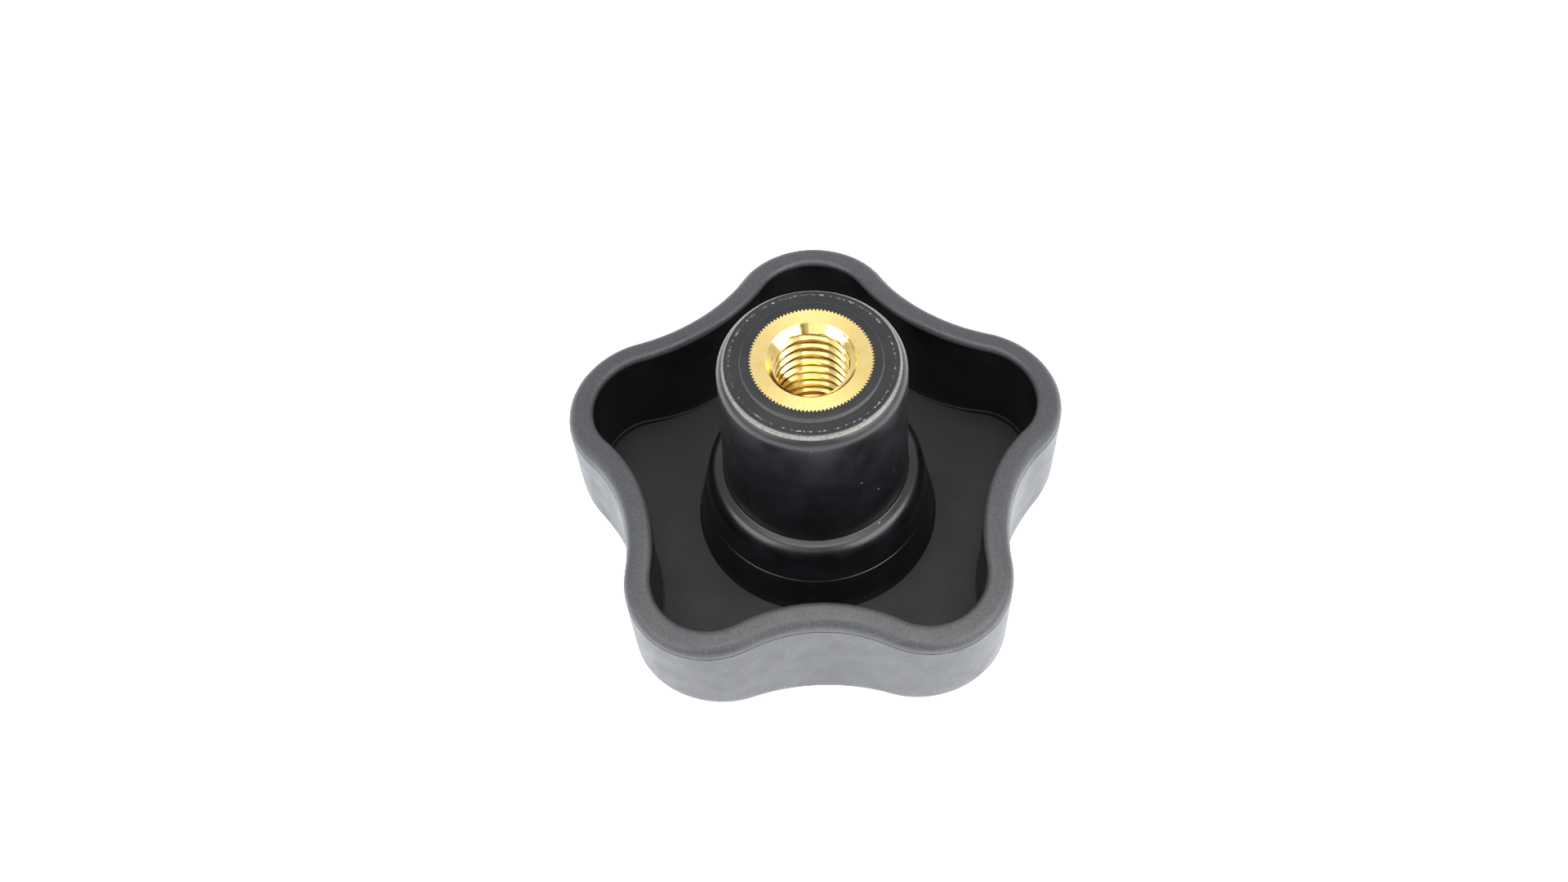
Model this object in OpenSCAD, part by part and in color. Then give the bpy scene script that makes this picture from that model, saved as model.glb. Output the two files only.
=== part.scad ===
// Five-lobe hand knob, female: a moulded plastic shell with a tall hub and a threaded brass insert.
//
// The knob stands on its grip face, with the open back and the hub upwards.
// Origin: centre of the flat of the grip face. +Z runs up the thread axis, out of the hub.
// One lobe points along +Y.

/* [Head outline] */
// Diameter of the circle that touches every lobe tip
head_d = 63; // [54:0.5:80]
// Number of lobes round the head
lobe_count = 5; // [4:1:6]
// Radius of each lobe's round end
lobe_tip_r = 10.3; // [9:0.1:12]
// Depth of the finger hollows, measured inwards from the lobe tips
hollow_depth = 6.8; // [5.5:0.1:8]

/* [Shell] */
// Height of the rim above the grip face, at the finger hollows
head_h = 20.3; // [16:0.1:26]
// Thickness of the skirt
skirt_t = 3.1; // [2.4:0.1:4]
// How much lower the rim lies at a lobe tip than at a finger hollow
rim_fall = 1.25; // [0:0.05:2]
// Thickness of the shell behind the grip face
face_t = 5.6; // [4:0.1:7]
// How much higher the pocket floor lies at the lobe tips than round the hub
floor_rise = 0.9; // [0:0.1:1.5]
// Radius of the flat in the middle of the grip face
face_flat_r = 14; // [5:0.5:15]
// How much the crowned grip face rises from its flat to the lobe tips
face_crown_h = 5.1; // [3:0.1:5.5]

/* [Pedestal] */
// Diameter of the hub's pedestal where it leaves the pocket floor
pedestal_foot_d = 30; // [28:0.2:34]
// Diameter of the pedestal just under its shoulder
pedestal_top_d = 26.6; // [25:0.2:28]
// Height of the pedestal wall above the pocket floor
pedestal_h = 8.9; // [6:0.1:10]
// Height that the rounded shoulder takes above the pedestal wall
shoulder_h = 2.8; // [1.6:0.1:4]

/* [Hub] */
// Height of the hub's end above the grip face
hub_h = 37.9; // [34:0.1:48]
// Diameter of the hub at its end
hub_end_d = 22; // [20:0.1:23]
// Diameter of the hub where it meets the shoulder
hub_foot_d = 22.6; // [22:0.1:24]
// Rounding of the hub's outer end edge
hub_edge_r = 2; // [0.5:0.1:2.4]
// Width of the raised plastic collar round the insert
collar_w = 1; // [0.6:0.1:1.8]
// Height of that collar above the hub's end ring
collar_h = 0.4; // [0.2:0.1:0.8]

/* [Insert] */
// Outer diameter of the brass insert over its knurl
insert_d = 14.2; // [11.8:0.1:15.8]
// Length of the insert
insert_len = 22; // [16:0.1:28]
// Width of each retaining groove round the insert
groove_w = 2; // [1.2:0.1:3]
// Depth of the retaining grooves
groove_t = 0.8; // [0.4:0.1:1.2]
// Bevel on the insert's inner end
insert_bevel = 0.8; // [0.3:0.1:1.2]
// Gap between the moulding and the insert all round: none, as the plastic is moulded on
insert_gap = 0; // [0:0.01:0.1]

/* [Thread] */
// Diameter of the tapped hole inside the thread crests (8.5 for M10)
tap_d = 8.5; // [6.8:0.1:10.2]
// Diameter of the countersink at the mouth
mouth_d = 10.4; // [9:0.1:12.6]
// Brass left between the drill point's tip and the insert's inner end
blind_t = 2.4; // [1:0.1:6]

/* [Hidden] */
$fn = 96;
DRILL_POINT = 118;               // angle of a twist drill's point
LOBE_SIDES = 12;                 // flats that stand for one lobe arc
HOLLOW_SIDES = 6;                // flats that stand for one hollow arc
CROWN_STEPS = 5;                 // cones that stand for the crown
EDGE_STEPS = 5;                  // facets that stand for each rounding in a turned outline
OVER = 1;                        // how far a cutting shape reaches past what it cuts
HEAD_R = head_d / 2;
HALF_PITCH = 180 / lobe_count;   // angle from a lobe to the hollow next to it

// The outline: convex lobe arcs and concave hollow arcs, tangent where they meet
lobe_c = HEAD_R - lobe_tip_r;                    // distance of a lobe arc's centre
waist_r = HEAD_R - hollow_depth;                 // nearest that a hollow comes to the axis
reach = lobe_c * cos(HALF_PITCH) - waist_r;
aside = lobe_c * sin(HALF_PITCH);
hollow_r = (reach * reach + aside * aside - lobe_tip_r * lobe_tip_r) / (2 * (lobe_tip_r + reach));
hollow_c = waist_r + hollow_r;                   // distance of a hollow arc's centre
hollow_half = asin(aside / (lobe_tip_r + hollow_r));      // half the angle of a hollow arc
lobe_half = HALF_PITCH + hollow_half;                     // half the angle of a lobe arc

RIM_SLOPE = rim_fall / hollow_depth;             // fall of the rim for each mm outwards
pocket_r = waist_r - skirt_t;                    // nearest that the skirt comes to the axis
pedestal_z = face_t + pedestal_h;
shoulder_z = pedestal_z + shoulder_h;
end_z = hub_h - collar_h;                        // the ring outside the collar
insert_r = insert_d / 2;
collar_r = insert_r + collar_w;
insert_z = hub_h - insert_len;
mouth_depth = (mouth_d - tap_d) / 2;             // a 90 degree countersink
point_h = tap_d / 2 / tan(DRILL_POINT / 2);
tap_z = insert_z + blind_t + point_h;            // where the drill point starts
groove_z = [for (i = [1, 2]) insert_z + i * insert_len / 3 - groove_w / 2];

// Points of an arc of radius r about [x, y], from angle a to angle b in n steps
function arc(x, y, r, a, b, n) =
    [for (i = [0:n]) let (t = a + (b - a) * i / n) [x + r * cos(t), y + r * sin(t)]];

// Points of a quarter ellipse from p, where it leaves along Z, inwards and up to q
function shoulder(p, q) =
    [for (i = [0:2 * EDGE_STEPS]) let (t = 90 * i / (2 * EDGE_STEPS))
        [q[0] + (p[0] - q[0]) * cos(t), p[1] + (q[1] - p[1]) * sin(t)]];

// A list of points without its last one
function but_last(points) = [for (i = [0:len(points) - 2]) points[i]];

// The lobed outline drawn in by inset, all the way round
function outline(inset) =
    [for (k = [0:lobe_count - 1]) let (a = 90 + k * 2 * HALF_PITCH, h = a + HALF_PITCH) each concat(
        but_last(arc(lobe_c * cos(a), lobe_c * sin(a), lobe_tip_r - inset,
            a - lobe_half, a + lobe_half, LOBE_SIDES)),
        but_last(arc(hollow_c * cos(h), hollow_c * sin(h), hollow_r + inset,
            h + 180 + hollow_half, h + 180 - hollow_half, HOLLOW_SIDES)))];

// The head outside: the outline, cut by the crown of the grip face below and by the rim above
module head_outside() {
    far_r = HEAD_R + OVER;
    crown_k = face_crown_h / (HEAD_R * HEAD_R - face_flat_r * face_flat_r);
    intersection() {
        linear_extrude(head_h + OVER)
            polygon(outline(0));
        rotate_extrude()
            polygon(concat(
                [[0, 0]],
                [for (i = [0:CROWN_STEPS]) let (r = face_flat_r + (far_r - face_flat_r) * i / CROWN_STEPS)
                    [r, crown_k * (r * r - face_flat_r * face_flat_r)]],
                [[far_r, head_h - (far_r - waist_r) * RIM_SLOPE],
                 [pocket_r - OVER, head_h + (skirt_t + OVER) * RIM_SLOPE],
                 [0, head_h + (skirt_t + OVER) * RIM_SLOPE]]));
    }
}

// The space inside the skirt, above the pocket floor
module head_pocket() {
    far_r = HEAD_R + OVER;
    rise = floor_rise / (HEAD_R - skirt_t - pocket_r);
    intersection() {
        linear_extrude(head_h + 2 * OVER)
            polygon(outline(skirt_t));
        rotate_extrude()
            polygon([[0, face_t], [pocket_r - OVER, face_t],
                [far_r, face_t + (far_r - pocket_r + OVER) * rise],
                [far_r, head_h + 3 * OVER], [0, head_h + 3 * OVER]]);
    }
}

// Pedestal, shoulder and hub, one turned shape from inside the face to the hub's end
module hub_column() {
    rotate_extrude()
        polygon(concat(
            [[0, face_t / 2], [pedestal_foot_d / 2, face_t / 2], [pedestal_foot_d / 2, face_t]],
            shoulder([pedestal_top_d / 2, pedestal_z], [hub_foot_d / 2, shoulder_z]),
            arc(hub_end_d / 2 - hub_edge_r, end_z - hub_edge_r, hub_edge_r, 0, 90, EDGE_STEPS),
            [[collar_r, end_z], [collar_r, hub_h], [0, hub_h]]));
}

// Outside of the insert, made larger all round by gap: the insert itself, or its seat in the hub
module insert_outside(gap) {
    r = insert_r + gap;
    rotate_extrude()
        polygon(concat(
            [[0, insert_z - gap], [r - insert_bevel, insert_z - gap], [r, insert_z - gap + insert_bevel]],
            [for (z = groove_z) each
                [[r, z], [r - groove_t, z], [r - groove_t, z + groove_w], [r, z + groove_w]]],
            [[r, hub_h], [0, hub_h]]));
}

// Tapped hole: countersink, plain bore at the thread's crests, drill point
module tapped_hole() {
    rotate_extrude()
        polygon([[0, tap_z - point_h], [tap_d / 2, tap_z], [tap_d / 2, hub_h - mouth_depth],
            [mouth_d / 2 + OVER, hub_h + OVER], [0, hub_h + OVER]]);
}

// The moulding: lobed skirt and grip face, hollow at the back, with the hub standing in the middle
module knob_body() {
    color("#26272a")
        difference() {
            union() {
                difference() {
                    head_outside();
                    head_pocket();
                }
                hub_column();
            }
            insert_outside(insert_gap);
        }
}

// The turned brass bush that the plastic is moulded round
module threaded_insert() {
    color("#d8b45a")
        difference() {
            insert_outside(0);
            tapped_hole();
        }
}

knob_body();
threaded_insert();
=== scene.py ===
# %% [markdown]
# # A five-lobe star knob, modelled and finished in Blender
#
# The real object is a hand nut. Black plastic is moulded in one shot round a turned brass bush,
# and the bush is tapped M10. The grip is a hollow five-lobed shell that lies face down here, so we
# look into its open back at the pedestal, the tall hub and the brass.
#
# The engineering model comes first and stays the reference: it fixes the size, the place of the
# thread and the axis. Its surfaces could be used as they are, but they have sharp edges and a
# plain bore. So this lesson builds finished surfaces over it, in metres, and hides the reference.

# %% Load the reference model
import math
import bpy
from mathutils import Matrix, Vector


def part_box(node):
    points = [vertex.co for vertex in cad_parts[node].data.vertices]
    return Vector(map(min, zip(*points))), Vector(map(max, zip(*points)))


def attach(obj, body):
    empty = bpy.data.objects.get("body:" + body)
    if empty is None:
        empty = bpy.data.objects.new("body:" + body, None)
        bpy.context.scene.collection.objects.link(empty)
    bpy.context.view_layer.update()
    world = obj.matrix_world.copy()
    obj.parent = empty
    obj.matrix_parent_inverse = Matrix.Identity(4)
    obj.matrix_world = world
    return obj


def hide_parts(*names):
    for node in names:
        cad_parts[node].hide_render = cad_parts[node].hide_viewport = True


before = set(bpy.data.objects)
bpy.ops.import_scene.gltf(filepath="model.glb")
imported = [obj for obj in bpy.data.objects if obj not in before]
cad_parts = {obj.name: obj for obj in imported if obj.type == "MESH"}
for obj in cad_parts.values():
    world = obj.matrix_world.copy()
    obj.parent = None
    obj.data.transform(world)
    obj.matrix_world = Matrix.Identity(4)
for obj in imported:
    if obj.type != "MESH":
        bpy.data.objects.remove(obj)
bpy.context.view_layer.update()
MM = 0.001
body_low, body_high = (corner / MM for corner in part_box("knob_body"))
bush_low, bush_high = (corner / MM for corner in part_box("threaded_insert"))
print("knob in mm:", [round(v, 2) for v in body_high - body_low])
print("bush in mm:", [round(v, 2) for v in bush_high - bush_low])

# %% [markdown]
# ## Working by hand, in code
#
# Every piece starts as a primitive and is shaped in edit mode. A mesh could also be typed in as
# lists of points, but then nobody could repeat it with the mouse. Operators work on whatever is
# selected, so each step starts by selecting nothing, and then picks vertices by where they are.
# These few helpers do that. All sizes are written in millimetres and turned to metres on the way
# in.

# %% Helpers for edit mode
WELD = 0.001 * MM        # points nearer than this become one
FINE_WELD = 0.0005 * MM  # the same, for a finished mesh
SPIN_WELD = 0.01 * MM    # the same, where a spin comes back to its start


def select_none():
    if bpy.context.object and bpy.context.object.mode == "EDIT":
        bpy.ops.object.mode_set(mode="OBJECT")
    bpy.ops.object.select_all(action="DESELECT")


def edit(piece):
    select_none()
    bpy.context.view_layer.objects.active = piece
    piece.select_set(True)
    bpy.ops.object.mode_set(mode="EDIT")
    bpy.ops.mesh.select_mode(type="VERT")
    bpy.ops.mesh.select_all(action="DESELECT")


def pick(piece, test):
    """Selects, in edit mode, the vertices whose place in mm passes the test."""
    bpy.ops.mesh.select_all(action="DESELECT")
    bpy.ops.object.mode_set(mode="OBJECT")
    for vertex in piece.data.vertices:
        vertex.select = bool(test(vertex.co / MM))
    chosen = {vertex.index for vertex in piece.data.vertices if vertex.select}
    for edge in piece.data.edges:
        edge.select = edge.vertices[0] in chosen and edge.vertices[1] in chosen
    for face in piece.data.polygons:
        face.select = all(corner in chosen for corner in face.vertices)
    bpy.ops.object.mode_set(mode="EDIT")
    return len(chosen)


def place(piece, rule, first=0):
    """Moves vertices from number first on: the rule takes a place in mm and gives the new one."""
    bpy.ops.object.mode_set(mode="OBJECT")
    for vertex in piece.data.vertices[first:]:
        vertex.co = Vector(rule(vertex.co / MM)) * MM
    bpy.ops.object.mode_set(mode="EDIT")


def start_point(name, point):
    """A plane shrunk to one vertex, ready to be drawn out into a line."""
    select_none()
    bpy.ops.mesh.primitive_plane_add(size=MM)
    piece = bpy.context.object
    piece.name = piece.data.name = name
    bpy.ops.object.mode_set(mode="EDIT")
    bpy.ops.mesh.select_mode(type="VERT")
    bpy.ops.mesh.select_all(action="SELECT")
    bpy.ops.mesh.merge(type="CENTER")
    bpy.ops.transform.translate(value=Vector(point) * MM)
    return piece


def draw_to(points):
    """Extrudes the selected vertex from each point of (radius, height) to the next."""
    for here, there in zip(points, points[1:]):
        move = Vector((there[0] - here[0], 0, there[1] - here[1])) * MM
        bpy.ops.mesh.extrude_vertices_move(TRANSFORM_OT_translate={"value": move})


def arc(centre, radius, start, end, steps):
    """Points (radius, height) on an arc, angles in degrees, both ends included."""
    turns = [math.radians(start + (end - start) * i / steps) for i in range(steps + 1)]
    return [(centre[0] + radius * math.cos(t), centre[1] + radius * math.sin(t)) for t in turns]


def tidy_mesh(piece, sharp=30):
    """Closes doubles, turns the faces outwards and smooths all but the sharp edges."""
    bpy.ops.object.mode_set(mode="EDIT")
    bpy.ops.mesh.select_all(action="SELECT")
    bpy.ops.mesh.remove_doubles(threshold=FINE_WELD)
    bpy.ops.mesh.dissolve_degenerate(threshold=FINE_WELD)
    bpy.ops.mesh.select_all(action="SELECT")
    bpy.ops.mesh.normals_make_consistent(inside=False)
    bpy.ops.object.mode_set(mode="OBJECT")
    bpy.ops.object.shade_smooth_by_angle(angle=math.radians(sharp))
    print(piece.name, len(piece.data.vertices), "vertices,", len(piece.data.polygons), "faces")


# %% [markdown]
# ## One plastic, two mould surfaces
#
# The knob is one shot of black glass-filled polyamide, but its mould has two kinds of surface. The
# grip side and the rim are spark-eroded to a fine matt grain, and the pocket and hub come off
# plain polished steel. One finish could tell them apart by height, but the change must follow the
# rim's inner edge. So the moulding gets two finishes, named now and mixed at the end. A face that
# inset or spin makes takes the finish of the face it came from.

# %% Name the finishes
grained = bpy.data.materials.new("polyamide_spark_grain")
polished = bpy.data.materials.new("polyamide_polished_mould")
brass = bpy.data.materials.new("free_cutting_brass_turned")
print("finishes:", grained.name, polished.name, brass.name)


def finishes(piece, *materials):
    for finish in materials:
        piece.data.materials.append(finish)


def paint_selected(piece, number):
    """Gives the selected faces the finish in that slot."""
    piece.active_material_index = number
    bpy.ops.object.material_slot_assign()


# %% [markdown]
# ## The outline of the head
#
# The outline is all arcs, as a toolmaker would draw it: five round lobes, and between them five
# finger hollows that run into the lobes with no corner. A curve would only come close to the arcs,
# and uniting discs would leave the hollows out, so we draw it with a pair of compasses. Spin
# swings one vertex about a lobe's centre, and then the other way about the next hollow's centre,
# until it is back where it began.

# %% Sizes of the outline
LOBES = 5
LOBE_STEPS, HOLLOW_STEPS = 46, 34
LOBE_TIP_R = 10.3
HOLLOW_DEPTH = 6.8
TURN_STEPS = LOBES * (LOBE_STEPS + HOLLOW_STEPS)
half_pitch = math.pi / LOBES
head_r = body_high.y
waist_r = head_r - HOLLOW_DEPTH
lobe_c = head_r - LOBE_TIP_R
reach = lobe_c * math.cos(half_pitch) - waist_r
aside = lobe_c * math.sin(half_pitch)
hollow_r = (reach ** 2 + aside ** 2 - LOBE_TIP_R ** 2) / (2 * (LOBE_TIP_R + reach))
hollow_c = waist_r + hollow_r
hollow_half = math.asin(aside / (LOBE_TIP_R + hollow_r))
lobe_half = half_pitch + hollow_half
print("hollow radius %.2f mm, %d steps round" % (hollow_r, TURN_STEPS))

# %% Sizes of the head, upwards from the grip face
FLOOR_Z = 5.6        # pocket floor round the hub
FLOOR_RISE = 0.9     # how much higher it lies at the lobe tips
HEAD_H = 20.3        # rim over the hollows
RIM_FALL = 1.25      # how much lower it lies at the lobe tips
SKIRT = 3.15         # thickness of the wall
RIM_ROUND = 1.15     # outer edge of the rim
RIM_BAND = 0.28      # upright band between parting line and rounding
RIM_LEDGE = 0.05     # step at the parting line
INNER_ROUND = 0.8    # inner edge of the rim
FOOT_ROUND = 0.2     # fillet between wall and pocket floor
EDGE_ROUND = 2.5     # edge of the grip face
DRAFT = 0.2          # how much the wall leans in on its way down
FLAT_R = 14.0        # flat of the grip face
CROWN_H = 5.1        # rise of the grip face from that flat to a lobe tip
part_z = HEAD_H - RIM_ROUND - RIM_BAND
middle_z = 0.55 * HEAD_H
pocket_r = waist_r - SKIRT
print("parting line at %.2f mm, pocket from %.2f mm radius" % (part_z, pocket_r))


def crown(r):
    """Height of the crowned grip face at a radius."""
    return CROWN_H * max(0.0, r * r - FLAT_R ** 2) / (head_r ** 2 - FLAT_R ** 2)


def rim_drop(r):
    """How far the rim has fallen at a radius, from its height over the hollows."""
    return RIM_FALL * (r - waist_r) / (head_r - waist_r)


def floor_lift(r):
    """How far the pocket floor has risen at a radius."""
    return FLOOR_RISE * max(0.0, r - pocket_r + 1) / (head_r - SKIRT - pocket_r + 1)


# %% Draw the outline
lobe_start = math.pi / 2 - lobe_half
shell = start_point("knob_shell", (LOBE_TIP_R * math.cos(lobe_start),
                                   lobe_c + LOBE_TIP_R * math.sin(lobe_start), part_z))
finishes(shell, grained, polished)
for k in range(LOBES):
    lobe_at = math.pi / 2 + 2 * k * half_pitch
    hollow_at = lobe_at + half_pitch
    bpy.ops.mesh.spin(steps=LOBE_STEPS, angle=-2 * lobe_half, axis=(0, 0, 1), center=(
        lobe_c * MM * math.cos(lobe_at), lobe_c * MM * math.sin(lobe_at), 0))
    bpy.ops.mesh.spin(steps=HOLLOW_STEPS, angle=2 * hollow_half, axis=(0, 0, 1), center=(
        hollow_c * MM * math.cos(hollow_at), hollow_c * MM * math.sin(hollow_at), 0))
bpy.ops.mesh.select_all(action="SELECT")
bpy.ops.mesh.remove_doubles(threshold=SPIN_WELD)
bpy.ops.object.mode_set(mode="OBJECT")
print("outline:", len(shell.data.vertices), "points")

# %% [markdown]
# ## Outside of the head
#
# Inset draws the whole outline in by an exact distance and lifts or sinks it by another, so a list
# of small insets gives any wall that follows the outline. The mould opens along the axis, so the
# wall leans in a little towards the grip face, and ends there in a soft edge. Extruding and
# scaling would be quicker, but a lobed outline that is scaled does not keep an even wall.

# %% Wall and edge by insets
def insets(rows):
    """Each row is (inwards, outwards along the face's normal) in mm, from the last place."""
    for inwards, outwards in rows:
        bpy.ops.mesh.inset(thickness=inwards * MM, depth=outwards * MM, use_even_offset=True,
                           use_boundary=True)


def steps_of(points):
    return [(b[0] - a[0], b[1] - a[1]) for a, b in zip(points, points[1:])]


def cap(piece, upwards):
    """Fills the picked loop with one face that looks up or down, and leaves it selected."""
    bpy.ops.mesh.edge_face_add()
    bpy.ops.mesh.select_mode(type="FACE")
    bpy.ops.object.mode_set(mode="OBJECT")
    normal = next(face.normal.z for face in piece.data.polygons if face.select)
    bpy.ops.object.mode_set(mode="EDIT")
    if (normal > 0) != upwards:
        bpy.ops.mesh.flip_normals()


WALL_ROWS = 5
wall_h = part_z - EDGE_ROUND
edit(shell)
bpy.ops.mesh.select_all(action="SELECT")
cap(shell, upwards=False)
insets([(DRAFT / WALL_ROWS, wall_h / WALL_ROWS)] * WALL_ROWS)
insets(steps_of(arc((EDGE_ROUND, 0), EDGE_ROUND, 180, 90, 12)))
bpy.ops.mesh.delete(type="ONLY_FACE")
bpy.ops.mesh.select_mode(type="VERT")
print("outside down to", round(min(v.co.z for v in shell.data.vertices) / MM, 3))

# %% [markdown]
# ## The crowned grip face
#
# The face that fills the palm is slightly domed, with a flat in the middle that the knob stands
# on. One lifted face could not dome evenly over five lobes. So a round ring is added inside the
# outline, the two loops are bridged, and the ring is then drawn in to the flat. Last, every vertex
# below the middle of the wall is lifted by the crown's height there.

# %% Grip face
def ring(radius, height):
    bpy.ops.mesh.primitive_circle_add(vertices=TURN_STEPS, radius=radius * MM,
                                      location=(0, 0, height * MM))


def near(a, b, slack=0.01):
    return abs(a - b) < slack


def radius_of(p):
    return math.hypot(p[0], p[1])


CROWN_RING = 19.0
bpy.ops.mesh.select_all(action="DESELECT")
ring(CROWN_RING, 0)
pick(shell, lambda p: near(p.z, 0))
bpy.ops.mesh.bridge_edge_loops(number_cuts=6, interpolation="LINEAR")
pick(shell, lambda p: near(p.z, 0) and near(radius_of(p), CROWN_RING))
rings = (CROWN_RING, 17.5, 16.0, 14.6, FLAT_R, 13.4)
for wide, narrow in zip(rings, rings[1:]):
    bpy.ops.mesh.extrude_edges_move()
    scale = narrow / wide
    bpy.ops.transform.resize(value=(scale, scale, 1), center_override=(0, 0, 0))
bpy.ops.mesh.edge_face_add()
place(shell, lambda p: (p.x, p.y, p.z + crown(radius_of(p)) * min(1, max(
    0, (middle_z - p.z) / (middle_z - EDGE_ROUND)))))
print("grip face edge stands at", round(crown(head_r - EDGE_ROUND), 2), "mm at a lobe")

# %% [markdown]
# ## Rim and pocket
#
# The mould's two halves meet just under the rim. They never match to the last hundredth, so a hair
# of a ledge runs round there. Above it the rim rounds over to a flat land, drops over a small edge
# into the pocket, and meets the pocket floor in a fillet. Cutting the pocket with a boolean would
# leave ragged faces at the edges to be rounded, so it is the same trick as before: insets, up and
# then down. The rim falls a little towards each lobe, and the floor rises a little.

# %% Rim and pocket by insets
pick(shell, lambda p: near(p.z, part_z))
outside_count = len(shell.data.vertices)
cap(shell, upwards=True)
land = SKIRT - RIM_LEDGE - RIM_ROUND - INNER_ROUND
pocket_wall = HEAD_H - INNER_ROUND - FOOT_ROUND - FLOOR_Z
insets([(RIM_LEDGE, 0), (0.0, RIM_BAND)])
insets(steps_of(arc((RIM_ROUND, 0), RIM_ROUND, 180, 90, 8)))
insets([(land / 3, 0)] * 3)
insets(steps_of(arc((0, 0), INNER_ROUND, 90, 0, 6)))
paint_selected(shell, 1)
insets([(0.0, -pocket_wall / 6)] * 6)
insets(steps_of(arc((FOOT_ROUND, 0), FOOT_ROUND, 180, 270, 6)))
bpy.ops.mesh.delete(type="ONLY_FACE")
bpy.ops.mesh.select_mode(type="VERT")


def settle_rim(p):
    high = min(1, max(0, (p.z - middle_z) / (HEAD_H - middle_z)))
    return (p.x, p.y, p.z - rim_drop(radius_of(p)) * high)


def settle_floor(p):
    low = min(1, max(0, (middle_z - p.z) / (middle_z - FLOOR_Z - FOOT_ROUND)))
    return (p.x, p.y, p.z + floor_lift(radius_of(p)) * low)


place(shell, settle_rim)
place(shell, settle_floor, first=outside_count)
print("rim:", len(shell.data.vertices), "vertices so far")

# %% [markdown]
# ## Pedestal and hub
#
# Everything in the middle is round, so it is a turned shape: half of its section is drawn point by
# point and spun about the axis. From the floor up there is a leaning pedestal with a hairline
# where two mould inserts meet, a soft shoulder, the long hub with a little draft, a rounded edge,
# the end ring, and a low collar round the bush. Stacked cylinders would need every corner bevelled
# by hand. The section then runs down the seat that the bush fills.

# %% Section of the hub
HUB_TOP = body_high.z
COLLAR_R, COLLAR_H, COLLAR_SINK = 8.16, 0.4, 0.03
PEDESTAL_FOOT, PEDESTAL_TOP = 15.0, 13.4
WITNESS_Z = FLOOR_Z + 5.6
SHOULDER_LOW, SHOULDER_HIGH = FLOOR_Z + 8.3, FLOOR_Z + 11.25
SHOULDER_FILLET, SHOULDER_STEPS = 0.3, 16
HUB_FOOT, HUB_END = 11.3, 10.95
EDGE_R, EDGE_DROP, WALL_DROP = 1.6, 1.8, 1.9
RIDGE_R, RIDGE_ROUND = 10.15, 0.3
RING_SINK = 0.03
COLLAR_FILLET, COLLAR_ROUND = 0.12, 0.15
TOOTH_H = 0.22
SEAT_R = bush_high.x - TOOTH_H - 0.02
end_z = HUB_TOP - COLLAR_H


def along(low, high, share):
    return tuple(a + (b - a) * share for a, b in zip(low, high))


def shoulder(low, high, fillet, steps):
    """A quarter of an ellipse, up from the wall and inwards, then a small fillet into the hub."""
    wide, tall = low[0] - high[0] - fillet, high[1] - fillet - low[1]
    turns = [math.radians(80 * i / steps) for i in range(steps + 1)]
    rounded = [(low[0] - wide * (1 - math.cos(t)), low[1] + tall * math.sin(t)) for t in turns]
    return rounded + arc((high[0] + fillet, high[1]), fillet, 260, 180, 6)


foot = (PEDESTAL_FOOT, FLOOR_Z)
shoulder_low = (PEDESTAL_TOP, SHOULDER_LOW)
witness = along(foot, shoulder_low, (WITNESS_Z - FLOOR_Z) / (SHOULDER_LOW - FLOOR_Z))
hub_foot = (HUB_FOOT, SHOULDER_HIGH)
hub_end = (HUB_END, end_z - WALL_DROP)
section = [foot, along(foot, witness, 0.5), (witness[0] + 0.04, witness[1] - 0.02),
           (witness[0] - 0.03, witness[1] + 0.03), along(witness, shoulder_low, 0.5)]
section += shoulder(shoulder_low, hub_foot, SHOULDER_FILLET, SHOULDER_STEPS)
section += [along(hub_foot, hub_end, share) for share in (0.25, 0.5, 0.75, 1)]
section += arc((HUB_END - EDGE_R, end_z - EDGE_DROP), EDGE_R, 5, 62, 9)
section += arc((RIDGE_R - RIDGE_ROUND, end_z - RIDGE_ROUND), RIDGE_ROUND, 35, 90, 5)
section += [(9.6, end_z - RING_SINK), (8.9, end_z - RING_SINK), (COLLAR_R + 0.25, end_z)]
section += arc((COLLAR_R + COLLAR_FILLET, end_z + COLLAR_FILLET), COLLAR_FILLET, 270, 180, 4)
section += arc((COLLAR_R - COLLAR_ROUND, HUB_TOP - COLLAR_SINK - COLLAR_ROUND), COLLAR_ROUND,
               0, 90, 4)
section += [(SEAT_R, HUB_TOP - COLLAR_SINK), (SEAT_R, HUB_TOP - 1.0), (SEAT_R, bush_low.z),
            (SEAT_R / 2, bush_low.z), (0, bush_low.z)]
print("hub section:", len(section), "points")

# %% Spin the hub
hub = start_point("hub", (section[0][0], 0, section[0][1]))
finishes(hub, polished)
draw_to(section)
bpy.ops.mesh.select_all(action="SELECT")
bpy.ops.mesh.spin(steps=TURN_STEPS, angle=2 * math.pi, axis=(0, 0, 1), center=(0, 0, 0))
bpy.ops.mesh.select_all(action="SELECT")
bpy.ops.mesh.remove_doubles(threshold=WELD)
bpy.ops.object.mode_set(mode="OBJECT")
print("hub:", len(hub.data.vertices), "vertices")

# %% [markdown]
# ## One moulding
#
# Head and hub are one shot of plastic, so they become one mesh. Pushing two closed bodies into
# each other would hide faces inside. The two open edges are the only ones left, so they are
# selected as such and bridged: that makes the pocket floor, from the skirt's fillet to the
# pedestal's foot.

# %% Join and bridge the floor
select_none()
hub.select_set(True)
shell.select_set(True)
bpy.context.view_layer.objects.active = shell
bpy.ops.object.join()
body = shell
edit(body)
bpy.ops.mesh.select_non_manifold(extend=False, use_wire=False, use_boundary=True,
                                 use_multi_face=False, use_non_contiguous=False, use_verts=False)
bpy.ops.mesh.bridge_edge_loops(number_cuts=5, interpolation="LINEAR")
tidy_mesh(body)

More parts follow.
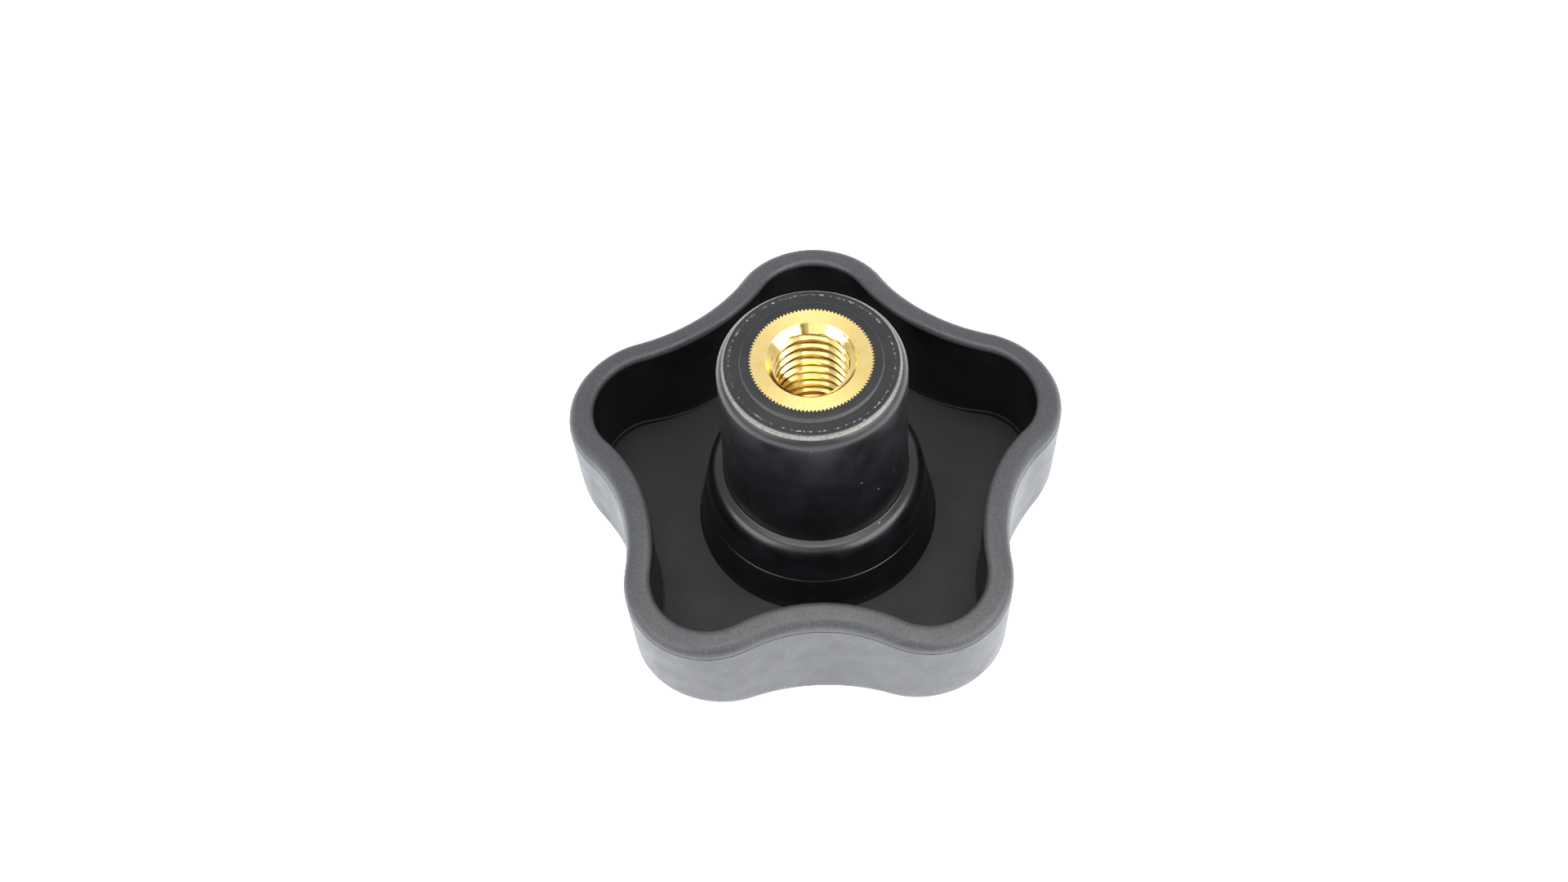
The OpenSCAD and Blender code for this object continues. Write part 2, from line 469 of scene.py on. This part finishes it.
# %% [markdown]
# ## The brass bush
#
# The bush is turned from bar with a straight knurl, so that the plastic locks round its teeth, and
# then tapped. Its teeth show as a fine saw edge where brass meets plastic. One tooth could be
# copied round, but a disc is simpler. It has four points to a tooth: two are drawn in to the
# tooth's root, and the disc is extruded down.

# %% Knurled outside
TEETH = 100
BUSH_BEVEL = 0.5
bush_r = bush_high.x
select_none()
bpy.ops.mesh.primitive_circle_add(vertices=4 * TEETH, radius=bush_r * MM, fill_type="NGON",
                                  location=(0, 0, 0))
bush = bpy.context.object
bush.name = bush.data.name = "brass_bush"
edit(bush)
bpy.ops.mesh.select_all(action="SELECT")
bpy.ops.transform.translate(value=(0, 0, bush_high.z * MM))
tooth = 2 * math.pi / TEETH


def at_root(p):
    turn = (math.atan2(p.y, p.x) / tooth + 0.125) % 1
    return turn >= 0.5


picked = pick(bush, at_root)
root = (bush_r - TOOTH_H) / bush_r
bpy.ops.transform.resize(value=(root, root, 1), center_override=(0, 0, 0))
bpy.ops.mesh.select_mode(type="FACE")
bpy.ops.mesh.select_all(action="SELECT")
bpy.ops.mesh.extrude_region_move(
    TRANSFORM_OT_translate={"value": (0, 0, -(bush_high.z - bush_low.z - BUSH_BEVEL) * MM)})
bpy.ops.mesh.inset(thickness=BUSH_BEVEL * MM, depth=-BUSH_BEVEL * MM)
bpy.ops.mesh.select_mode(type="VERT")
pick(bush, lambda p: near(p.z, bush_high.z))
bpy.ops.mesh.delete(type="ONLY_FACE")
print("teeth:", TEETH, "root points:", picked)

# %% [markdown]
# ## The thread
#
# One pitch of an M10 coarse thread is drawn as a line and swept by the Screw modifier. Stacked
# rings would be easier and look the same from afar, but a thread that has no lead is not a thread.
# The raw helix is then cut to the hole by moving its points: nothing may be narrower than the
# countersink, nothing stands above the end face, and the last turn dies out into the plain drilled
# hole.

# %% Sweep one pitch of thread
PITCH = 1.5
CREST_R, ROOT_R = 4.25, 5.0
MOUTH_R = 5.2
ROOT_FLAT = PITCH / 8
THREAD_STEPS = 100
HOLE_DEPTH = 17.05
POINT_HALF_ANGLE = 59
flank = (ROOT_R - CREST_R) * math.tan(math.radians(30))
crest_flat = PITCH - 2 * flank - ROOT_FLAT
corners = [(CREST_R, 0), (CREST_R, crest_flat), (ROOT_R, crest_flat + flank),
           (ROOT_R, crest_flat + flank + ROOT_FLAT), (CREST_R, PITCH)]
pitch_line = [corners[0]]
for low, high, pieces in zip(corners, corners[1:], (4, 6, 2, 6)):
    pitch_line += [along(low, high, (i + 1) / pieces) for i in range(pieces)]
hole_low = bush_high.z - HOLE_DEPTH
turns = math.ceil((bush_high.z - hole_low) / PITCH) + 3
thread = start_point("thread", (pitch_line[0][0], 0, hole_low - 1.5 * PITCH))
draw_to(pitch_line)
bpy.ops.object.mode_set(mode="OBJECT")
screw = thread.modifiers.new("one pitch a turn", "SCREW")
screw.angle = 2 * math.pi
screw.screw_offset = PITCH * MM
screw.iterations = turns
screw.steps = screw.render_steps = THREAD_STEPS
screw.use_merge_vertices = True
screw.merge_threshold = WELD
bpy.ops.object.modifier_apply(modifier=screw.name)
print("thread:", turns, "turns,", len(thread.data.vertices), "vertices")

# %% Cut the helix to the hole
FACE_SLACK = 0.005
thread_end = hole_low + 2.2 * PITCH


def cut_to_hole(p):
    r, turn = radius_of(p), math.atan2(p.y, p.x)
    z = min(max(p.z, hole_low), bush_high.z)
    r = CREST_R + (r - CREST_R) * min(1, max(0, (z - thread_end) / PITCH + 1))
    r = max(r, MOUTH_R - (bush_high.z - z))
    if p.z >= bush_high.z - FACE_SLACK:
        r, z = MOUTH_R, bush_high.z
    return (r * math.cos(turn), r * math.sin(turn), z)


edit(thread)
place(thread, cut_to_hole)
bpy.ops.mesh.select_all(action="SELECT")
bpy.ops.mesh.remove_doubles(threshold=WELD)
bpy.ops.mesh.dissolve_degenerate(threshold=WELD)
found = pick(thread, lambda p: near(p.z, hole_low, 0.001))
bpy.ops.mesh.extrude_edges_move(TRANSFORM_OT_translate={"value": (
    0, 0, -CREST_R / math.tan(math.radians(POINT_HALF_ANGLE)) * MM)})
bpy.ops.mesh.merge(type="CENTER")
bpy.ops.object.mode_set(mode="OBJECT")
print("drill point closed from", found, "points")

# %% Join thread and bush
select_none()
thread.select_set(True)
bush.select_set(True)
bpy.context.view_layer.objects.active = bush
bpy.ops.object.join()
edit(bush)
bpy.ops.mesh.select_non_manifold(extend=False, use_wire=False, use_boundary=True,
                                 use_multi_face=False, use_non_contiguous=False, use_verts=False)
bpy.ops.mesh.fill(use_beauty=True)
tidy_mesh(bush, sharp=25)
finishes(bush, brass)

# %% [markdown]
# ## Finishes
#
# A finish is a small graph of nodes. It could be clicked together in the shader editor; in code,
# one function adds a node, sets it and links it, and another turns hex colours, which are how a
# screen writes them, to the linear values that light needs. Patterns read Object coordinates,
# which are metres on these pieces, so a pattern's scale is one over its real size. Three nodes do
# most of the work: TexNoise gives even lumps, MapRange with soft ends turns them to a mask or a
# range, and Mix lays one colour over another by a mask.

# %% Colour and node helpers
SOFT = {"interpolation_type": "SMOOTHSTEP"}  # a MapRange with soft ends


def linear(code):
    """An sRGB hex colour as linear values with full alpha."""
    values = [int(code[i:i + 2], 16) / 255 for i in (1, 3, 5)]
    light = [v / 12.92 if v <= 0.04045 else ((v + 0.055) / 1.055) ** 2.4 for v in values]
    return (*light, 1)


def node(tree, kind, settings):
    """Adds one shader node. A setting names a property or a socket.

    A socket takes a value, an output, or a node, whose first output is then linked.
    """
    made = tree.nodes.new("ShaderNode" + kind)
    for key, value in settings.items():
        if isinstance(value, bpy.types.Node):
            value = value.outputs[0]
        if isinstance(key, str) and hasattr(made, key):
            setattr(made, key, value)
        elif isinstance(value, bpy.types.NodeSocket):
            tree.links.new(value, made.inputs[key])
        else:
            made.inputs[key].default_value = value
    return made


def empty_tree(finish):
    finish.use_nodes = True
    finish.node_tree.nodes.clear()
    return finish.node_tree


def measures(tree):
    """A point's place, its distance from the thread's axis and its height, in metres."""
    where = node(tree, "TexCoord", {}).outputs["Object"]
    parts = node(tree, "SeparateXYZ", {"Vector": where})
    flat = node(tree, "CombineXYZ", {"X": parts.outputs["X"], "Y": parts.outputs["Y"]})
    away = node(tree, "VectorMath", {"operation": "LENGTH", 0: flat}).outputs["Value"]
    return where, away, parts.outputs["Z"]


# %% [markdown]
# ### Spark-eroded grain
#
# Glass-filled polyamide (PA6-GF30), dyed black, off a spark-eroded mould. The eroded steel leaves
# pits of about a tenth of a millimetre, so the skin scatters light like fine sandpaper and looks
# grey. Pits that small would vanish at this distance, so they are drawn at 0.22 mm. They could be
# modelled, but as bump they cost nothing. Handling has rubbed paler spots on the skin.

# %% Grained outside
PITS_MM, RUBS_MM, CLOUDS_MM = 0.22, 0.6, 2.6
POLYAMIDE_IOR = 1.53
tree = empty_tree(grained)
place_m = node(tree, "TexCoord", {}).outputs["Object"]
pits = node(tree, "TexNoise", {"Vector": place_m, "Scale": 1 / (PITS_MM * MM),
                               "Detail": 3.0, "Roughness": 0.55})
smears = node(tree, "TexNoise", {"Vector": place_m, "Scale": 1 / (RUBS_MM * MM),
                                 "Detail": 4.0, "Roughness": 0.7})
clouds = node(tree, "TexNoise", {"Vector": place_m, "Scale": 1 / (CLOUDS_MM * MM),
                                 "Detail": 3.0, "Roughness": 0.55})
speckle = node(tree, "MapRange", SOFT | {"Value": pits, "From Min": 0.3, "From Max": 0.72})
rubs = node(tree, "MapRange", SOFT | {"Value": smears, "From Min": 0.60, "From Max": 0.74})
faint_rubs = node(tree, "Math", {"operation": "MULTIPLY", 0: rubs, 1: 0.35})
tone = node(tree, "Mix", {"data_type": "RGBA", 0: speckle,
                          6: linear("#2d2e31"), 7: linear("#3e3f43")}).outputs[2]
tone = node(tree, "Mix", {"data_type": "RGBA", 0: faint_rubs,
                          6: tone, 7: linear("#5a5856")}).outputs[2]
matt = node(tree, "MapRange", SOFT | {"Value": clouds, "From Min": 0.3, "From Max": 0.7,
                                      "To Min": 0.42, "To Max": 0.5})
relief = node(tree, "Bump", {"Height": pits, "Strength": 0.35, "Distance": 0.03 * MM})
shader = node(tree, "BsdfPrincipled", {"IOR": POLYAMIDE_IOR, "Base Color": tone,
                                       "Roughness": matt, "Normal": relief})
node(tree, "OutputMaterial", {"Surface": shader})
print("finish:", grained.name)

# %% [markdown]
# ### Polished pocket and hub
#
# The same black polyamide off polished steel: darker, smoother, and a touch blue. The pocket floor
# is rougher than the walls. Being the end that meets other parts, the hub carries the wear. Its
# outer edge is scuffed pale, and made paler still as a painted highlight of the rounded edge; a
# pale band round the collar's edge is a painted highlight too. A broken ring of scratches runs
# round the end where a washer has turned, and small nicks show as light specks. Wear could be
# painted by hand; placed by the radius and the height of real contact, and the painted highlights
# by those of the rounded edges, it stays right when the size changes.

# %% Where the wear and the painted highlights are
FINE_MM, BROAD_MM, SCRATCH_MM, NICK_CELL_MM = 0.25, 3.5, 0.5, 1.9
WASHER_R = 9.45
tree = empty_tree(polished)
place_m, radius_m, height_m = measures(tree)
fine = node(tree, "TexNoise", {"Vector": place_m, "Scale": 1 / (FINE_MM * MM),
                               "Detail": 4.0, "Roughness": 0.7})
broad = node(tree, "TexNoise", {"Vector": place_m, "Scale": 1 / (BROAD_MM * MM),
                                "Detail": 3.0, "Roughness": 0.55})
streaks = node(tree, "TexNoise", {"Vector": place_m, "Scale": 1 / (SCRATCH_MM * MM),
                                  "Detail": 5.0, "Roughness": 0.8})
wear_and_highlight = {}
for name, r_mm, half_mm, low_mm, noise, bare, full, least in (
        ("washer", WASHER_R, 0.14, end_z - 0.4, streaks, 0.52, 0.62, 0.0),
        # pale edge band: real scuffing, made lighter as a painted highlight of the rounded edge
        ("edge", RIDGE_R + 0.02, 0.22, end_z - 0.5, fine, 0.3, 0.6, 0.35),
        # pale collar band: a painted highlight of the collar's rounded edge, broken up by noise
        ("collar", COLLAR_R + 0.02, 0.1, end_z + 0.1, fine, 0.3, 0.6, 0.4)):
    aside_m = node(tree, "Math", {"operation": "SUBTRACT", 0: radius_m, 1: r_mm * MM})
    off_m = node(tree, "Math", {"operation": "ABSOLUTE", 0: aside_m})
    band = node(tree, "MapRange", SOFT | {"Value": off_m, "From Min": half_mm * MM,
                                          "From Max": 0.25 * half_mm * MM})
    high = node(tree, "MapRange", SOFT | {"Value": height_m, "From Min": (low_mm - 0.2) * MM,
                                          "From Max": low_mm * MM})
    patches = node(tree, "MapRange", SOFT | {"Value": noise, "From Min": bare, "From Max": full,
                                             "To Min": least})
    band_at_height = node(tree, "Math", {"operation": "MULTIPLY", 0: band, 1: high})
    wear_and_highlight[name] = node(tree, "Math", {"operation": "MULTIPLY", 0: band_at_height, 1: patches})
print("wear:", sorted(wear_and_highlight))

# %% Zones and nicks
zone = {}
for name, low_mm, high_mm in (("hub", SHOULDER_HIGH - 2, SHOULDER_HIGH),
                              ("end", end_z - 1.2 - 1.5, end_z - 1.2),
                              ("floor", FLOOR_Z + FLOOR_RISE + 0.4, FLOOR_Z + FLOOR_RISE + 0.1)):
    zone[name] = node(tree, "MapRange", SOFT | {"Value": height_m, "From Min": low_mm * MM,
                                                "From Max": high_mm * MM})
cells = node(tree, "TexVoronoi", {"Vector": place_m, "Scale": 1 / (NICK_CELL_MM * MM)})
chance = node(tree, "SeparateColor", {"Color": cells.outputs["Color"]})
lucky = node(tree, "Math", {"operation": "GREATER_THAN", 0: chance, 1: 0.72})
lucky_hub = node(tree, "Math", {"operation": "MULTIPLY", 0: lucky, 1: zone["hub"]})
dots = node(tree, "MapRange", SOFT | {"Value": cells.outputs["Distance"], "From Min": 0.055,
                                      "From Max": 0.025})
nicks = node(tree, "Math", {"operation": "MULTIPLY", 0: dots, 1: lucky_hub})
print("zones:", sorted(zone))

# %% Polished inside
mottle = node(tree, "MapRange", SOFT | {"Value": broad, "From Min": 0.3, "From Max": 0.7})
tone = node(tree, "Mix", {"data_type": "RGBA", 0: mottle,
                          6: linear("#090a0c"), 7: linear("#101216")}).outputs[2]
# pale edge colour: scuffing plus a painted highlight; pale collar colour: a painted highlight
for mask, strength, colour in ((wear_and_highlight["edge"], 0.7, "#9c9b96"), (wear_and_highlight["collar"], 0.6, "#6f7072"),
                               (wear_and_highlight["washer"], 0.85, "#a8a8a8"), (nicks, 1.0, "#b4b4b0"),
                               (zone["floor"], 1.0, "#111214")):
    share = node(tree, "Math", {"operation": "MULTIPLY", 0: mask, 1: strength})
    tone = node(tree, "Mix", {"data_type": "RGBA", 0: share,
                              6: tone, 7: linear(colour)}).outputs[2]
rough = node(tree, "MapRange", SOFT | {"Value": broad, "From Min": 0.3, "From Max": 0.7,
                                       "To Min": 0.28, "To Max": 0.34})
for mask, more in ((zone["floor"], 0.3), (wear_and_highlight["washer"], 0.2), (zone["end"], 0.1)):
    share = node(tree, "Math", {"operation": "MULTIPLY", 0: mask, 1: more})
    rough = node(tree, "Math", {"operation": "ADD", 0: rough, 1: share})
relief = node(tree, "Bump", {"Height": fine, "Strength": 0.12, "Distance": 0.02 * MM})
shader = node(tree, "BsdfPrincipled", {"IOR": POLYAMIDE_IOR, "Base Color": tone,
                                       "Roughness": rough, "Normal": relief})
node(tree, "OutputMaterial", {"Surface": shader})
print("finish:", polished.name)

# %% [markdown]
# ### Turned brass
#
# Free-cutting brass (CuZn39Pb3), turned and tapped, with no plating. The lathe leaves fine rings,
# so the end face is satin, and the tap and the countersink leave the thread brighter than the
# face. Real tool rings are a few hundredths of a millimetre apart; they are drawn at 0.16 mm. The
# bump alone would need far finer rings to stretch the highlights, so the shader's own anisotropy
# does it.

# %% Brass
TARNISH_MM, TOOL_RING_MM = 1.4, 0.16
tree = empty_tree(brass)
place_m, radius_m, height_m = measures(tree)
on_face = node(tree, "MapRange", SOFT | {"Value": height_m, "From Min": (HUB_TOP - 0.06) * MM,
                                         "From Max": (HUB_TOP - 0.01) * MM})
tarnish = node(tree, "TexNoise", {"Vector": place_m, "Scale": 1 / (TARNISH_MM * MM),
                                  "Detail": 4.0, "Roughness": 0.6})
stain = node(tree, "MapRange", SOFT | {"Value": tarnish, "From Min": 0.35, "From Max": 0.7})
tone = node(tree, "Mix", {"data_type": "RGBA", 0: stain,
                          6: linear("#f6dc95"), 7: linear("#efd083")}).outputs[2]
bright = node(tree, "MapRange", SOFT | {"Value": on_face, "To Min": 0.16, "To Max": 0.34})
uneven = node(tree, "MapRange", SOFT | {"Value": tarnish, "From Min": 0.3, "From Max": 0.7,
                                        "To Min": -0.03, "To Max": 0.04})
satin = node(tree, "Math", {"operation": "ADD", 0: bright, 1: uneven})
phase = node(tree, "Math", {"operation": "MULTIPLY", 0: radius_m,
                            1: 2 * math.pi / (TOOL_RING_MM * MM)})
waves = node(tree, "Math", {"operation": "SINE", 0: phase})
face_waves = node(tree, "Math", {"operation": "MULTIPLY", 0: waves, 1: on_face})
tool_rings = node(tree, "Math", {"operation": "MULTIPLY", 0: face_waves, 1: 0.5})
relief = node(tree, "Bump", {"Height": tool_rings, "Strength": 0.15, "Distance": 0.01 * MM})
round_axis = node(tree, "Tangent", {"direction_type": "RADIAL", "axis": "Z"})
shader = node(tree, "BsdfPrincipled", {
    "Metallic": 1.0, "Anisotropic": 0.6, "Anisotropic Rotation": 0.25, "Base Color": tone,
    "Roughness": satin, "Normal": relief, "Tangent": round_axis})
node(tree, "OutputMaterial", {"Surface": shader})
print("finish:", brass.name)

# %% [markdown]
# ## Riding on the reference
#
# Nothing moves against anything else in this knob: the plastic grips the brass by its teeth. So
# both pieces ride on the one body, and each hides the plain solid that it stands for.

# %% Ride on the reference model
for piece, slot, cad_node in ((body, "black_plastic", "knob_body"),
                              (bush, "brass", "threaded_insert")):
    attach(piece, "root")
    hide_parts(cad_node)
    print(piece.name, "stands for", cad_node)

# %% [markdown]
# ## Table and light
#
# A white table, lit well past white, throws light up under the skirt and keeps shadows faint.
# Round it hang four soft boxes: strong ones overhead, left and right, and a weak one in front. A
# bare lamp would draw hard spots. It is the edges of the boxes, seen in the plastic and the brass,
# that draw the round shapes. A narrow black flag in front puts a dark streak down the back of the
# hole.

# %% Table
select_none()
TABLE_SIZE, TABLE_GAP = 20, 0.02 * MM
bpy.ops.mesh.primitive_plane_add(size=TABLE_SIZE, location=(0, 0, -TABLE_GAP))
floor = bpy.context.object
floor.name = floor.data.name = "floor"
paper = bpy.data.materials.new("white_laminate_table")
tree = empty_tree(paper)
shader = node(tree, "BsdfPrincipled", {"Base Color": linear("#fafafa"), "Roughness": 0.9,
              "Emission Color": linear("#eaf2ff"), "Emission Strength": 1.2})
node(tree, "OutputMaterial", {"Surface": shader})
floor.data.materials.append(paper)
print("table:", TABLE_SIZE, "m square")

# %% Lights
world = bpy.data.worlds.new("studio")
bpy.context.scene.world = world
world.use_nodes = True
tree = world.node_tree
ROOM_FRONT, ROOM_BACK = 0.6, 1.1
facing = node(tree, "TexCoord", {}).outputs["Generated"]
back = node(tree, "SeparateXYZ", {"Vector": facing}).outputs["Y"]
room = node(tree, "MapRange", SOFT | {"Value": back, "From Min": -0.3, "From Max": 0.8,
                                      "To Min": ROOM_FRONT, "To Max": ROOM_BACK})
tree.nodes["Background"].inputs["Color"].default_value = linear("#eef1f4")
tree.links.new(room.outputs[0], tree.nodes["Background"].inputs["Strength"])


def aim(panel, turn_deg, rise_deg, away):
    """Faces a panel to the knob from away metres. Turn 0 is behind the knob, 180 in front."""
    turn, rise = math.radians(turn_deg), math.radians(rise_deg)
    panel.location = (away * math.sin(turn) * math.cos(rise),
                      away * math.cos(turn) * math.cos(rise), away * math.sin(rise))
    panel.rotation_euler = (-panel.location).to_track_quat("-Z", "Y").to_euler()


BOX_AWAY = 0.8
# width and height in metres, turn and rise in degrees, radiance, tint
SOFT_BOXES = {
    "overhead": (0.5, 0.48, 180, 86, 5.0, "#fffdf8"),
    "front": (0.45, 0.35, -165, 40, 0.9, "#fff8ec"),
    "left": (0.6, 0.45, -117, 38, 4.8, "#fffdf8"),
    "right": (0.8, 0.5, 119, 38, 5.5, "#fffdf8")}
for name, (wide, high, turn_deg, rise_deg, radiance, tint) in SOFT_BOXES.items():
    lamp = bpy.data.lights.new(name, "AREA")
    lamp.shape = "RECTANGLE"
    lamp.size, lamp.size_y = wide, high
    lamp.energy = radiance * math.pi * wide * high
    lamp.color = linear(tint)[:3]
    panel = bpy.data.objects.new(name, lamp)
    bpy.context.scene.collection.objects.link(panel)
    aim(panel, turn_deg, rise_deg, BOX_AWAY)
    print("soft box:", name, round(lamp.energy, 2), "W")

# %% A black flag in front
FLAG_WIDE, FLAG_HIGH, FLAG_AWAY = 0.05, 0.5, 0.5
select_none()
bpy.ops.mesh.primitive_plane_add(size=1)
flag = bpy.context.object
flag.name = flag.data.name = "flag"
flag.scale = (FLAG_WIDE, FLAG_HIGH, 1)
aim(flag, 160, 35, FLAG_AWAY)
felt = bpy.data.materials.new("black_felt")
tree = empty_tree(felt)
shader = node(tree, "BsdfPrincipled", {"Base Color": linear("#1c1512"), "Roughness": 0.95})
node(tree, "OutputMaterial", {"Surface": shader})
flag.data.materials.append(felt)
print("flag:", FLAG_WIDE, "by", FLAG_HIGH, "m")

# %% [markdown]
# ## Camera
#
# The camera looks down into the open back at about 57 degrees, from 22 cm away, so the near lobes
# look a little larger than the far ones. It could be aimed with a constraint; a few angles and a
# distance say the same and need no extra object.

# %% Camera
TILT = 0.997          # radians down from level
ROLL = 0.069          # radians
TURN = 0.048          # radians about the thread's axis
DISTANCE = 221.8      # mm from the middle of the rim
OFFSET = (3.75, -0.34)  # mm, how far the middle of the rim is right of and above the view's centre
LENS, SENSOR = 42.185625, 36
forward = Vector((0, math.cos(TILT), -math.sin(TILT)))
right = Vector((math.cos(ROLL), -math.sin(ROLL) * math.sin(TILT),
                -math.sin(ROLL) * math.cos(TILT)))
upward = right.cross(forward)
turn = Matrix.Rotation(TURN, 3, "Z")
spot = -DISTANCE * forward - OFFSET[0] * right - OFFSET[1] * upward
camera = bpy.data.objects.new("camera", bpy.data.cameras.new("camera"))
bpy.context.scene.collection.objects.link(camera)
axes = Matrix((turn @ right, turn @ upward, turn @ -forward)).transposed()
place_mm = turn @ spot + Vector((0, 0, HEAD_H))
camera.matrix_world = Matrix.Translation(place_mm * MM) @ axes.to_4x4()
camera.data.sensor_width = SENSOR
camera.data.lens = LENS
camera.data.clip_start = 0.01
bpy.context.scene.camera = camera
print("camera:", DISTANCE, "mm away,", LENS, "mm lens")
bpy.context.scene.view_settings.view_transform = "Standard"
